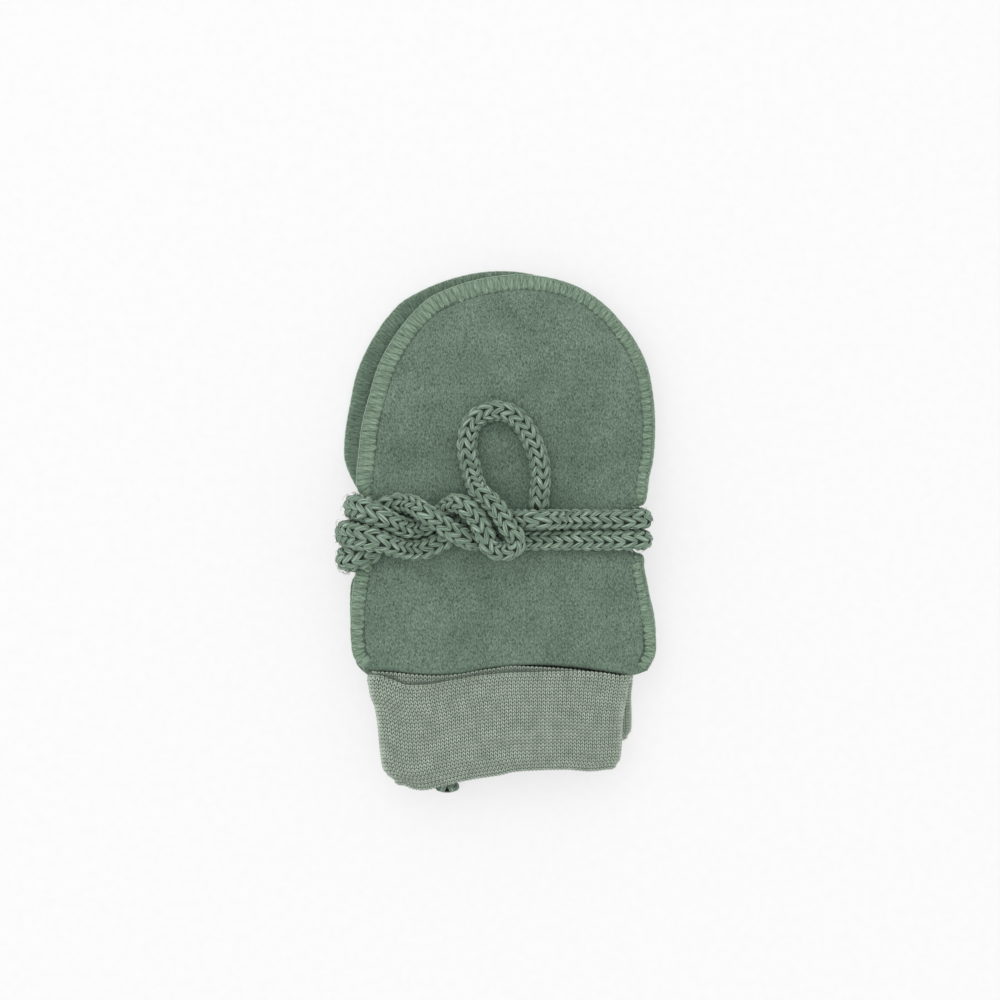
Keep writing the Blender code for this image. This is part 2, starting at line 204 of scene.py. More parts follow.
# Upper mitten, the four sides of a panel: x, y
HEM = [
    (-37.7, -38.2), (-29.2, -38.8), (-20.1, -39.6), (-11.3, -39.3), (-2.2, -37.7),
    (8.0, -36.9), (21.5, -37.7), (30.5, -39.1), (36.6, -39.9), (40.2, -38.8),
]
LEFT_SIDE = [
    (-37.7, -38.2), (-40.4, -35.2), (-41.3, -30.3), (-41.3, -23.4), (-40.8, -17.4), (-40.2, -13.2),
    (-39.7, -11.3), (-38.2, -9.2), (-37.9, -3.0), (-37.0, 3.0), (-36.6, 6.8), (-38.3, 9.4), (-39.5, 11.5),
    (-39.7, 15.0), (-39.3, 20.4), (-38.5, 28.1), (-36.1, 37.7), (-33.7, 45.4), (-29.5, 53.1), (-25.0, 59.1),
]
TOP_SIDE = [
    (-25.0, 59.1), (-19.5, 64.1), (-14.9, 66.3), (-5.2, 69.3), (5.5, 70.4),
    (15.7, 69.0), (22.1, 66.6), (28.2, 62.4), (30.9, 59.9),
]
RIGHT_SIDE = [
    (40.2, -38.8), (42.4, -34.4), (42.6, -29.2), (41.5, -21.5), (40.0, -13.8), (39.2, -10.0), (39.0, -7.1),
    (36.2, -5.7), (34.8, -3.2), (34.7, 3.2), (35.9, 5.8), (39.3, 7.3), (40.1, 10.2), (40.6, 14.0),
    (41.8, 19.0), (42.4, 25.6), (41.8, 37.7), (40.2, 45.4), (36.7, 52.5), (30.9, 59.9),
]

# Upper cuff: share of the way across, y of the seam to the panels, of the turned-up edge, of the fold
CUFF_LINES = [
    (0.00, -39.0, -40.4, -70.0), (0.05, -39.1, -41.5, -71.0), (0.11, -39.4, -42.8, -71.1),
    (0.18, -39.8, -42.8, -70.2), (0.31, -39.6, -41.4, -68.5), (0.47, -38.0, -39.9, -67.2),
    (0.60, -37.3, -39.4, -65.9), (0.75, -37.9, -39.4, -65.6), (0.92, -39.4, -39.9, -66.1),
    (1.00, -40.2, -40.8, -65.7),
]
# Upper cuff: share of the way from the turned-up edge to the fold, left x, right x
CUFF_SIDES = [
    (0.00, -35.9, 35.4), (0.08, -36.6, 35.2), (0.17, -36.2, 34.8), (0.31, -34.8, 34.3),
    (0.50, -34.0, 33.6), (0.69, -33.5, 33.4), (0.85, -32.9, 33.1), (0.94, -31.6, 32.8), (1.00, -29.4, 31.8),
]

# The cord's route: x, y, height. It starts at the lower cuff's mouth.
CORD_ROUTE = [
    (-14.9, -73.0, 2.8), (-15.1, -61.1, 2.8), (-16.5, -48.1, 2.8), (-19.5, -34.4, 2.8),
    (-24.8, -23.4, 2.8), (-31.6, -13.6, 2.8), (-37.4, -9.0, 2.9),
    # lowest strand round the left edge, under the two others, then over them into the knot
    (-41.0, -8.1, 4.6), (-42.7, -7.8, 10.5), (-41.6, -7.7, 16.0), (-38.0, -6.9, 18.4),
    (-34.8, -4.8, 18.2), (-33.8, -0.8, 18.2), (-33.6, 2.8, 18.2), (-32.2, 5.8, 18.2),
    (-29.4, 7.2, 18.2), (-26.2, 7.2, 18.6), (-23.0, 6.3, 21.4), (-20.5, 4.6, 24.0), (-17.0, 2.4, 24.3),
    (-13.5, -0.2, 24.2), (-10.6, -1.8, 23.5), (-8.6, -2.7, 21.6), (-6.7, -2.9, 19.3), (-4.4, -2.8, 18.4),
    (-1.0, -2.7, 18.2), (7.0, -2.7, 18.2),
    # lower strand to the right edge and back beneath
    (20.0, -2.7, 18.2), (30.0, -2.7, 18.6), (34.4, -2.7, 18.7), (38.1, -2.7, 16.8), (38.8, -2.7, 13.6),
    (38.8, -2.6, 9.0), (38.1, -2.4, 5.0), (34.4, -2.1, 2.9), (30.0, -1.9, 2.8), (-11.0, -0.9, 2.8),
    (-32.0, -0.9, 2.8), (-36.0, -0.9, 2.8), (-39.0, -0.9, 3.0),
    # middle strand round the left edge, over the lowest, under the upper one into the knot
    (-41.8, -0.9, 4.9), (-42.9, -0.9, 10.2), (-42.3, -1.0, 16.4), (-39.8, -1.4, 21.2),
    (-36.6, -2.0, 23.8), (-33.4, -2.8, 24.2), (-30.2, -4.0, 22.4), (-27.0, -5.0, 19.6), (-24.0, -5.4, 18.2),
    (-20.4, -5.0, 18.2), (-17.0, -3.4, 18.2), (-13.6, -1.0, 18.2), (-10.9, 1.4, 18.2), (-8.0, 2.8, 18.2),
    (-4.0, 2.9, 18.2), (0.5, 2.9, 18.2), (3.5, 2.9, 18.9),
    # upper strand over the end of the bow, to the right edge and back beneath
    (6.9, 2.9, 22.4), (10.2, 2.9, 24.5), (13.8, 2.9, 22.6), (17.2, 2.9, 19.2), (21.5, 2.9, 18.3),
    (30.0, 2.9, 18.7), (34.4, 2.9, 19.0), (38.2, 2.9, 17.0), (38.8, 3.0, 13.6), (38.8, 3.2, 9.0),
    (38.1, 3.5, 5.0), (34.4, 3.9, 2.9), (30.0, 4.3, 2.8), (-11.0, 5.8, 2.8), (-32.0, 6.0, 2.8),
    (-35.0, 6.0, 2.8), (-37.8, 6.0, 3.1),
    # top strand round the left edge, down between the others, up and over the knot
    (-39.9, 6.1, 5.4), (-40.6, 6.2, 9.8), (-40.2, 6.2, 15.2), (-38.9, 6.2, 19.9), (-36.1, 5.3, 23.2),
    (-32.8, 3.8, 24.2), (-29.6, 2.2, 22.9), (-26.6, 0.8, 20.2), (-23.6, 0.5, 18.4), (-20.8, 1.2, 18.2),
    (-17.6, 3.4, 18.2), (-15.2, 5.6, 18.8), (-13.2, 7.0, 21.0), (-11.0, 7.2, 23.6), (-8.8, 5.6, 24.9),
    (-6.4, 3.0, 25.1), (-5.0, 0.3, 25.3), (-4.0, -2.0, 25.2), (-3.2, -3.9, 24.6), (-1.8, -5.2, 24.0),
    (0.3, -5.6, 23.7), (2.5, -5.2, 24.0), (3.9, -3.6, 24.6), (3.7, -1.6, 25.2), (2.2, 0.5, 25.4),
    # back over the knot into the loop of the bow, whose end lies under the upper strand
    (0.7, 3.0, 25.1), (-1.3, 6.1, 24.9), (-3.8, 8.7, 24.0), (-6.0, 10.5, 22.0), (-7.2, 13.4, 19.3),
    (-8.2, 17.0, 18.2), (-9.1, 21.0, 18.2), (-9.2, 24.8, 18.2), (-8.0, 29.0, 18.2), (-4.7, 31.9, 18.2),
    (-0.6, 32.7, 18.2), (3.6, 31.2, 18.2), (6.9, 27.3, 18.2), (9.4, 22.2, 18.2), (10.7, 17.0, 18.2),
    (10.8, 13.0, 18.2), (10.4, 9.2, 18.2), (10.4, 6.6, 18.2), (10.4, 4.4, 18.2),
]


# ------- shared shapes


def lengths_along(points):
    """How far along a broken line each of its points lies."""
    return np.concatenate([[0], np.cumsum(np.linalg.norm(np.diff(points, axis=0), axis=1))])


def read_at(wanted, places, values):
    """Each column of values, known at these places, at the wanted ones."""
    return np.column_stack([np.interp(wanted, places, column) for column in values.T])


def smooth_through(points, shares):
    """Points at these shares (0 to 1) of a smooth curve through the given ones, spaced by its length."""
    knots = np.array(points, float)
    spans = np.linalg.norm(np.diff(knots, axis=0), axis=1)[:, None]
    runs = np.diff(knots, axis=0) / spans
    slopes = (runs[:-1] * spans[1:] + runs[1:] * spans[:-1]) / (spans[:-1] + spans[1:])
    slopes = np.vstack([runs[:1], slopes, runs[-1:]])
    slope_in, slope_out, rise = slopes[:-1], slopes[1:], np.diff(knots, axis=0)
    first, second = slope_in * spans, 3 * rise - (2 * slope_in + slope_out) * spans
    third = (slope_in + slope_out) * spans - 2 * rise
    t = np.linspace(0, 1, 12, endpoint=False)[:, None]
    fine = knots[:-1, None] + first[:, None] * t + second[:, None] * t**2 + third[:, None] * t**3
    fine = np.vstack([*fine, knots[-1:]])
    places = lengths_along(fine)
    return read_at(np.asarray(shares) * places[-1], places, fine)


def ease(value):
    """0 at 0 and below, 1 at 1 and above, level at both."""
    value = np.clip(value, 0, 1)
    return value * value * (3 - 2 * value)


def distance_to_path(points, path):
    """How far each point lies in plan from a broken line, and how far along the line its nearest place is."""
    start = path[:-1, :2]
    run = path[1:, :2] - start
    squared = np.maximum((run**2).sum(1), 1e-9)
    lengths = np.concatenate([[0], np.cumsum(np.sqrt(squared))])[:-1]
    offset = points[:, None, :2] - start[None]
    share = np.clip((offset * run).sum(2) / squared, 0, 1)
    apart = np.linalg.norm(offset - share[..., None] * run, axis=2)
    nearest = apart.argmin(1)
    rows = np.arange(len(points))
    return apart[rows, nearest], lengths[nearest] + share[rows, nearest] * np.sqrt(squared[nearest])


def strands_beneath():
    """The stretches of the cord that the pair lies on."""
    stretches = []
    run = []
    for point in CORD_ROUTE:
        if point[2] < CORD_WIDTH:
            run.append(point)
        elif run:
            stretches.append(np.array(run))
            run = []
    return stretches


BENEATH = strands_beneath()


def lift(places):
    """How high a strand beneath holds the cloth over each (x, y)."""
    near = np.min([distance_to_path(places, path)[0] for path in BENEATH], axis=0)
    return LIFT * (1 - ease((near - LIFT_CORE) / LIFT_FALL))


def puff(places, lifted):
    """How much further the layers spread apart, none at the seams and under the tie."""
    x, y = places.T
    half_width = PUFF_HALF - WRIST_NARROW * ease((WRIST_TOP - y) / WRIST_FADE)
    dome = np.maximum(0.0, y - TIP_START) / TIP_LENGTH
    reach = np.hypot((x - PUFF_MIDDLE) / half_width, dome)
    spare = PUFF * np.maximum(0.0, 1 - reach**PUFF_POWER) - TIE_PRESS * lifted
    return 0.5 * (spare + np.hypot(spare, PUFF_SOFT))


def to_lower(places):
    """Points of the upper mitten's shape, as the lower mitten has them."""
    x, y = (places - LOWER_PIVOT).T
    turned_x = x * math.cos(LOWER_TURN) - y * math.sin(LOWER_TURN) + LOWER_PIVOT[0] + LOWER_SHIFT
    turned_y = x * math.sin(LOWER_TURN) + y * math.cos(LOWER_TURN) + LOWER_PIVOT[1]
    pinched_x = turned_x.copy()
    for side, depth, middle, half, fade in PINCHES:
        beside = ease((abs(turned_y - middle) - half) / fade)
        pinched_x -= side * depth * (1 - beside) * ease(side * turned_x / PINCH_REACH)
    return np.column_stack([pinched_x, turned_y])


def weld(mesh):
    """Joins the points that meet, and turns all faces outwards."""
    bm = bmesh.new()
    bm.from_mesh(mesh)
    bmesh.ops.remove_doubles(bm, verts=bm.verts, dist=1e-6)
    bmesh.ops.recalc_face_normals(bm, faces=bm.faces)
    bm.to_mesh(mesh)
    bm.free()
    mesh.shade_smooth()


def grid_object(name, places, materials, keep=None):
    """An object on a grid whose points, rows by columns, go to these places in millimetres.

    keep says whether the faces after a row, given by its number, are made.
    """
    rows, columns = places.shape[:2]
    bm = bmesh.new()
    bm.loops.layers.uv.new("run")
    bmesh.ops.create_grid(bm, x_segments=columns - 1, y_segments=rows - 1, size=1.0, calc_uvs=True)
    bm.verts.index_update()
    if keep is not None:
        left_out = [face for face in bm.faces if not keep(min(vert.index for vert in face.verts) // columns)]
        bmesh.ops.delete(bm, geom=left_out, context="FACES_ONLY")
    mesh = bpy.data.meshes.new(name)
    bm.to_mesh(mesh)
    bm.free()
    mesh.vertices.foreach_set("co", (places * MM).astype(np.float32).ravel())
    mesh.shade_smooth()
    for material in materials:
        mesh.materials.append(material)
    made = bpy.data.objects.new(name, mesh)
    bpy.context.scene.collection.objects.link(made)
    return made


def strand_set(name, surface, across, along, out, materials):
    """Many like strands as one mesh on a surface, which turns (across, along, out) into millimetres.

    The three are grids of strands by steps along a strand by places round it.
    """
    grids = np.broadcast_arrays(across, along, out)
    steps, columns = grids[0].shape[-2:]
    points = surface(*(grid.ravel() for grid in grids)).reshape(-1, columns, 3)
    return grid_object(name, points, materials, keep=lambda row: row % steps != steps - 1)


def join_into(target, others, material_index=0):
    """Adds other objects' meshes to the target's, and removes those objects."""
    bm = bmesh.new()
    bm.from_mesh(target.data)
    for other in others:
        before = len(bm.faces)
        bm.from_mesh(other.data)
        bm.faces.ensure_lookup_table()
        for face in bm.faces[before:]:
            face.material_index = material_index
        bpy.data.objects.remove(other, do_unlink=True)
    bm.to_mesh(target.data)
    bm.free()


def frames_along(path):
    """Unit tangent and two unit side directions at each point, turning as little as they can."""
    tangents = np.gradient(path, axis=0)
    tangents /= np.linalg.norm(tangents, axis=1)[:, None]
    side = np.cross(tangents[0], (0.0, 0.0, 1.0))
    sides = []
    for tangent in tangents:
        side = side - tangent * (side @ tangent)
        side /= np.linalg.norm(side)
        sides.append(side)
    sides = np.array(sides)
    return tangents, sides, np.cross(sides, tangents)


def tube(name, path, radius, around, materials):
    """A round thread along a path."""
    _, sides, ups = frames_along(path)
    angles = np.linspace(0, 2 * math.pi, around + 1)
    radii = np.broadcast_to(np.asarray(radius, float), (len(path),))[:, None, None]
    ring = np.cos(angles)[None, :, None] * sides[:, None] + np.sin(angles)[None, :, None] * ups[:, None]
    return grid_object(name, path[:, None] + radii * ring, materials)


# ------- materials


def linear(colour):
    """A linear colour from a hex one."""
    parts = [int(colour[i : i + 2], 16) / 255 for i in (0, 2, 4)]
    return tuple(part / 12.92 if part <= 0.04045 else ((part + 0.055) / 1.055) ** 2.4 for part in parts)


def new_material(name):
    """An empty node material."""
    made = bpy.data.materials.new(name)
    made.use_nodes = True
    made.node_tree.nodes.clear()
    return made


def add_node(made, kind, settings=None, values=None, links=None):
    """A shader node with these settings and socket values, its inputs linked from (node, output) pairs."""
    node = made.node_tree.nodes.new("ShaderNode" + kind)
    for key, value in (settings or {}).items():
        setattr(node, key, value)
    for key, value in (values or {}).items():
        node.inputs[key].default_value = value
    for key, (source, output) in (links or {}).items():
        made.node_tree.links.new(source.outputs[output], node.inputs[key])
    return node


def noise_at(made, place, scale, detail, roughness):
    """A noise texture at this place."""
    values = {"Scale": scale, "Detail": detail, "Roughness": roughness}
    return add_node(made, "TexNoise", values=values, links={"Vector": place}), "Fac"


def ramp(made, source, stops):
    """A colour ramp through (place, hex colour) stops."""
    node = add_node(made, "ValToRGB", links={"Fac": source})
    elements = node.color_ramp.elements
    while len(elements) < len(stops):
        elements.new(0.5)
    for element, (place, colour) in zip(elements, stops):
        element.position = place
        element.color = (*linear(colour), 1.0)
    return node, "Color"


def darkened(made, factor, colour, shade):
    """A colour multiplied by a shade, as much as the factor says; 6, 7 and 2 are the node's colour sockets."""
    settings = {"data_type": "RGBA", "blend_type": "MULTIPLY"}
    return add_node(made, "Mix", settings, {0: factor}, {6: colour, 7: shade}), 2


def bumped(made, height, distance, strength, under=None):
    """A bump of this height in metres, on top of another one if that is given."""
    links = {"Height": height} | ({"Normal": under} if under else {})
    values = {"Distance": distance, "Strength": strength}
    return add_node(made, "Bump", values=values, links=links), "Normal"


def finish_material(made, colour, normal, roughness, sheen, sheen_roughness, sheen_tint):
    """The shader that the colour and the bump go into, with the sheen of short fibres."""
    values = {
        "Roughness": roughness, "Sheen Weight": sheen, "Sheen Roughness": sheen_roughness,
        "Sheen Tint": (*linear(sheen_tint), 1.0), "Specular IOR Level": 0.2,
    }
    shader = add_node(made, "BsdfPrincipled", values=values, links={"Base Color": colour, "Normal": normal})
    add_node(made, "OutputMaterial", links={"Surface": (shader, "BSDF")})
    return shader


def object_place(made, stretch=None, turn=0.0):
    """Object coordinates, or those turned and stretched so that a noise on them runs in streaks."""
    place = (add_node(made, "TexCoord"), "Object")
    if stretch is None:
        return place
    values = {"Scale": stretch, "Rotation": (0.0, 0.0, turn)}
    return add_node(made, "Mapping", values=values, links={"Vector": place}), "Vector"


def brushed_wool(name, dark, middle, light):
    """Brushed wool knit: short slanting fibres over knit loops that show as small dips, darkened as painted shade, and
    faint clouds of pile.
    """
    made = new_material(name)
    place = object_place(made)
    streaks = object_place(made, (1.0, 0.5, 1.0), math.radians(40))
    loops = object_place(made, (1050.0, 860.0, 0.0))
    fibre = noise_at(made, streaks, 3000.0, 2.0, 0.7)
    dips = (add_node(made, "TexVoronoi", values={"Scale": 1.0, "Randomness": 0.6}, links={"Vector": loops}), "Distance")
    clouds = noise_at(made, place, 70.0, 3.0, 0.6)
    colour = ramp(made, fibre, [(0.30, dark), (0.50, middle), (0.70, light)])
    dip_painted_shade = ramp(made, dips, [(0.05, "8E988F"), (0.45, "FFFFFF")])
    cloud_shade = ramp(made, clouds, [(0.35, "D8DED8"), (0.65, "FFFFFF")])
    # the dips of the knit loops are darkened: painted shade
    colour = darkened(made, 0.6, colour, dip_painted_shade)
    colour = darkened(made, 0.8, colour, cloud_shade)
    normal = bumped(made, dips, 0.0003, 0.4)
    normal = bumped(made, fibre, 0.0002, 0.8, normal)
    finish_material(made, colour, normal, 0.95, 0.25, 0.6, "C6D6C8")
    return made


def plies(made, run, around, along):
    """Where a place on a strand lies across its ply: 0 in the groove between two plies, 0.5 on top of one."""
    turned = add_node(made, "VectorMath", {"operation": "DOT_PRODUCT"}, {1: (around, along, 0.0)}, {0: run})
    within = add_node(made, "Math", {"operation": "PINGPONG"}, {1: 0.5}, {0: (turned, "Value")})
    return within, "Value"


def knit_yarn(name, dark, middle, light, around, strands, groove):
    """Spun yarn: fibre streaks and twisted grooves along each strand, uneven from strand to strand.

    around is the number of grooves round a strand, strands how many strands the piece has, as its run counts them,
    and groove the colour of the painted shade in the grooves.
    """
    made = new_material(name)
    run = (add_node(made, "TexCoord"), "UV")
    values = {"Scale": (3.0 * around, strands, 1.0)}
    along = (add_node(made, "Mapping", values=values, links={"Vector": run}), "Vector")
    fibres = noise_at(made, along, 1.0, 2.0, 0.6)
    patches = noise_at(made, object_place(made), 350.0, 2.0, 0.6)
    grooves = plies(made, run, around, 0.9 * strands)
    colour = ramp(made, fibres, [(0.32, dark), (0.50, middle), (0.70, light)])
    shade = ramp(made, patches, [(0.30, "D0D4D0"), (0.65, "FFFFFF")])
    groove_painted_shade = ramp(made, grooves, [(0.0, groove), (0.24, "FFFFFF")])
    colour = darkened(made, 0.8, colour, shade)
    # the grooves between the plies are darkened: painted shade
    colour = darkened(made, 0.8, colour, groove_painted_shade)
    normal = bumped(made, grooves, 0.0002, 0.8)
    normal = bumped(made, fibres, 0.0002, 0.6, normal)
    finish_material(made, colour, normal, 0.9, 0.2, 0.5, "C6D6C8")
    return made


def plain_cloth(name, dark, light, scale):
    """Knit seen only between the strands that lie on it, or past an edge: a fine even grain. Given dark colours, it is
    painted shade between the strands.
    """
    made = new_material(name)
    grain = noise_at(made, object_place(made), scale, 2.0, 0.5)
    colour = ramp(made, grain, [(0.35, dark), (0.65, light)])
    normal = bumped(made, grain, 0.0004, 0.6)
    finish_material(made, colour, normal, 0.95, 0.15, 0.6, "C6D6C8")
    return made


def pale_floor(name):
    """A plain white studio table, quite matt, that glows: painted light that softens the shadows on it."""
    made = new_material(name)
    grain = noise_at(made, object_place(made), 400.0, 2.0, 0.5)
    colour = ramp(made, grain, [(0.3, "929292"), (0.7, "969696")])
    normal = bumped(made, grain, 0.0001, 0.05)
    shader = finish_material(made, colour, normal, 0.9, 0.0, 0.5, "FFFFFF")
    # the table's glow is painted light, which softens the shadows on it
    shader.inputs["Emission Color"].default_value = (1.0, 1.0, 1.0, 1.0)
    shader.inputs["Emission Strength"].default_value = FLOOR_GLOW
    return made


# ------- camera, floor, lights


def make_camera():
    """Straight above, the long lens of a product view."""
    data = bpy.data.cameras.new("camera")
    data.sensor_width = SENSOR
    data.lens = SENSOR * (CAMERA_HEIGHT - SUBJECT_HEIGHT) / FRAME_WIDTH
    data.clip_start = 0.01
    data.clip_end = 20.0
    made = bpy.data.objects.new("camera", data)
    made.location = (CAMERA_AIM[0] * MM, CAMERA_AIM[1] * MM, CAMERA_HEIGHT * MM)
    bpy.context.scene.collection.objects.link(made)
    bpy.context.scene.camera = made


def make_floor():
    """The table that the pair lies on."""
    edge = np.linspace(-FLOOR_HALF, FLOOR_HALF, 5)
    x, y = np.meshgrid(edge, edge)
    made = grid_object("floor", np.dstack([x, y, np.full_like(x, -FLOOR_DROP)]), [pale_floor("white table")])


def make_studio():
    """Soft light from all round, and a large softbox over the upper left."""
    bpy.context.scene.view_settings.view_transform = "Standard"
    world = bpy.data.worlds.new("studio")
    world.use_nodes = True
    background = world.node_tree.nodes["Background"]
    background.inputs["Color"].default_value = (1.0, 1.0, 1.0, 1.0)
    background.inputs["Strength"].default_value = WORLD_LIGHT
    bpy.context.scene.world = world
    data = bpy.data.lights.new("softbox", "AREA")
    data.shape = "SQUARE"
    data.size = SOFTBOX_SIZE
    data.energy = SOFTBOX_POWER
    softbox = bpy.data.objects.new("softbox", data)
    softbox.location = SOFTBOX_PLACE
    softbox.rotation_mode = "QUATERNION"
    softbox.rotation_quaternion = (Vector() - softbox.location).to_track_quat("-Z", "Y")
    bpy.context.scene.collection.objects.link(softbox)


# ------- knitted strands


def stitch_legs(name, stitches, surface, shape, materials):
    """The two legs of each V stitch or loop as arched strands on a surface.

    stitches are (across, along) of each one's point; shape gives the leg's spread, reach, width, arch and steps,
    and whether the two legs meet in a round loop.
    """
    t = np.linspace(0, 1, shape["steps"] + 1)
    if shape["looped"]:
        # half of a round loop of even width, with more steps where it turns
        t = t**1.6
        spread = np.sqrt(1 - (1 - t) ** 2)
        width = shape["width"] * np.ones(len(t))
        arch = shape["arch"] * (1 - t**2)
    else:
        # one leg of a V, slightly bent, thin at both ends
        spread = 0.35 * t + 0.65 * ease(t)
        width = shape["width"] * np.sin(math.pi * (0.08 + 0.84 * t)) ** 0.45
        arch = shape["arch"] * np.sin(math.pi * t) ** 0.7
    angles = np.linspace(*shape["angles"], shape["sides"] + 1)
    legs = []
    for hand in (-1.0, 1.0):
        across = hand * (shape["near"] + (shape["far"] - shape["near"]) * spread)
        along = shape["reach"] * (t - 0.12)
        steps = np.gradient(np.column_stack([across, along]), axis=0)
        steps /= np.linalg.norm(steps, axis=1)[:, None]
        lean = width[:, None] * np.cos(angles)[None]
        legs.append(np.dstack([
            across[:, None] + steps[:, 1:2] * lean,
            along[:, None] - steps[:, 0:1] * lean,
            arch[:, None] + shape["flat"] * width[:, None] * np.sin(angles)[None],
        ]))
    across, along, out = np.moveaxis(legs, -1, 0)
    starts = np.array(stitches, float)[..., None, None, None]
    return strand_set(name, surface, across + starts[:, 0], along + starts[:, 1], out, materials)


CORD_SHAPE = {
    "near": 0.08, "far": 1.62, "reach": 3.7, "width": 0.68, "arch": 0.55, "flat": 0.9,
    "steps": 6, "sides": 7, "angles": (0.0, 2 * math.pi), "looped": False,
}
CUFF_SHAPE = {
    "near": 0.0, "far": 0.36, "reach": 0.85, "width": 0.18, "arch": 0.24, "flat": 1.0,
    "steps": 3, "sides": 3, "angles": (math.radians(-20), math.radians(200)), "looped": True,
}


def stray_fibres(surface, path, places, girth, yarn):
    """Fine fibres standing off the cord, most of them where it goes round the left edge."""
    chance = np.random.default_rng(5)
    along = chance.uniform(2.0, places[-1] - 4.0, FIBRE_DRAWS)
    at_edge = np.interp(along, places, path[:, 0]) < -CORD_PRESS_FROM - 3.0
    along = along[at_edge | (chance.random(len(along)) < FIBRE_KEPT)]
    count = len(along)
    t = np.linspace(0, 1, 5)
    angles = np.linspace(0, 2 * math.pi, 4)
    ways = chance.normal(0, 1, (count, 2))
    across = chance.uniform(0, girth, count)[:, None] + ways[:, :1] * FIBRE_WANDER[0] * t
    along = along[:, None] + ways[:, 1:] * FIBRE_WANDER[1] * t
    out = FIBRE_START + (FIBRE_RISE[0] + FIBRE_RISE[1] * chance.random((count, 1))) * np.sin(2.2 * t)
    across = across[..., None] + FIBRE * np.cos(angles)
    out = out[..., None] + FIBRE * np.sin(angles)
    return strand_set("stray_fibres", surface, across, along[..., None], out, [yarn])


def make_cord(yarn, shade):
    """The round knitted cord: V stitches in a few wales on a core darkened as painted shade between them, and stray
    fibres.
    """
    path = smooth_through(CORD_ROUTE, np.linspace(0, 1, CORD_POINTS))
    length = np.linalg.norm(np.diff(path, axis=0), axis=1).sum()
    _, sides, ups = frames_along(path)
    places = np.linspace(0, length, len(path))
    turns = np.gradient(np.gradient(path, places, axis=0), places, axis=0)
    around = CORD_WIDTH / 2 + CORD_FLUFF - CORD_SHAPE["arch"] - CORD_SHAPE["flat"] * CORD_SHAPE["width"]
    girth = 2 * math.pi * (around + CORD_SHAPE["arch"])

    def surface(across, along, out):
        """Millimetre points on the round cord, flared at its start, rounded at its ends, pressed at the left edge."""
        along = np.clip(along, 0, length)
        angle = across / girth * 2 * math.pi
        from_end = np.clip(np.minimum(along, length - along) / CORD_END_ROUND, 0, 1)
        flare = 1 + CORD_FLARE * (1 - ease(along / CORD_FLARE_LENGTH))
        radius = ((around + out) * flare * np.sqrt(from_end * (2 - from_end)))[:, None]
        centre, side, up, bend = (read_at(along, places, values) for values in (path, sides, ups, turns))
        offset = radius * (np.cos(angle)[:, None] * side + np.sin(angle)[:, None] * up)
        offset[:, 1] *= 1 + CORD_PRESS * ease((-centre[:, 0] - CORD_PRESS_FROM) / CORD_PRESS_FADE)
        inward = (offset * bend).sum(1)
        squeezed = BEND_FROM + BEND_REST * np.tanh((inward - BEND_FROM) / BEND_SOFT)
        squeeze = np.where(inward > BEND_FROM, squeezed - inward, 0.0)
        bend_squared = np.maximum((bend**2).sum(1), 1e-9)
        return centre + offset + (squeeze / bend_squared)[:, None] * bend

    rows = int((length - 1.0) / CORD_ROW)
    wale = girth / CORD_WALES
    stitches = [(wale * i + wale / 2, CORD_ROW * row) for row in range(-1, rows) for i in range(CORD_WALES)]
    made = stitch_legs("tie_cord_knit", stitches, surface, CORD_SHAPE, [yarn, shade])
    coarse = path[::3]
    # the core narrows over its last points
    ends = np.minimum(np.arange(len(coarse)), np.arange(len(coarse))[::-1])
    radius = CORD_CORE * np.sqrt(np.clip((ends + 0.02) / 2.0, 0, 1))
    join_into(made, [tube("cord_core", coarse, radius, 8, [shade])], 1)
    join_into(made, [stray_fibres(surface, path, places, girth, yarn)])
    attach(made, "root")
    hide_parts("tie_cord")


# ------- panels


def spaced(length, inner):
    """Shares of a side, close together near its ends so that the rim is round."""
    rim = np.array(RIM_STEPS) / length
    middle = np.linspace(rim[-1], 1 - rim[-1], inner)
    return np.concatenate([rim[:-1], middle, 1 - rim[-2::-1]])


def panel_plan(across, along):
    """A grid of (x, y) over one panel, from its four sides: rows from the hem to the tip."""
    hem = smooth_through(HEM, across)
    top = smooth_through(TOP_SIDE, across)
    left = smooth_through(LEFT_SIDE, along)
    right = smooth_through(RIGHT_SIDE, along)
    u = across[None, :, None]
    v = along[:, None, None]
    sides = (1 - u) * left[:, None] + u * right[:, None]
    ends = (1 - v) * hem[None] + v * top[None]
    corners = (1 - v) * ((1 - u) * hem[0] + u * hem[-1]) + v * ((1 - u) * top[0] + u * top[-1])
    return sides + ends - corners


def sewn_edge():
    """The overlocked edge of the upper mitten, from wrist corner round the tip to wrist corner."""
    edge = np.vstack([
        smooth_through(LEFT_SIDE, np.linspace(0, 1, 160)),
        smooth_through(TOP_SIDE, np.linspace(0, 1, 80))[1:],
        smooth_through(RIGHT_SIDE, np.linspace(0, 1, 160))[-2::-1],
    ])
    places = lengths_along(edge)
    return read_at(np.arange(0, places[-1], SEAM_SPACING), places, edge)


SEWN = sewn_edge()
SEAM_PLACES = np.arange(len(SEWN)) * SEAM_SPACING
SEAM_LENGTH = SEAM_PLACES[-1]
INWARD = np.column_stack([np.gradient(SEWN[:, 1]), -np.gradient(SEWN[:, 0])])
INWARD /= np.linalg.norm(INWARD, axis=1)[:, None]


def along_seam(values, along):
    """Values known at each point of the sewn edge, at these lengths along it."""
    return read_at(along, SEAM_PLACES, values)


def bite(along):
    """How far in from the edge the overlock's needle line runs: straight on where the tie pulls the edge in."""
    x, y = along_seam(SEWN, along).T
    pulled_in = np.clip(TIE_EDGE - np.abs(x), 0, 3.0) * (np.abs(y) < TIE_REACH)
    return np.interp(along, *np.transpose(BITES)) - pulled_in


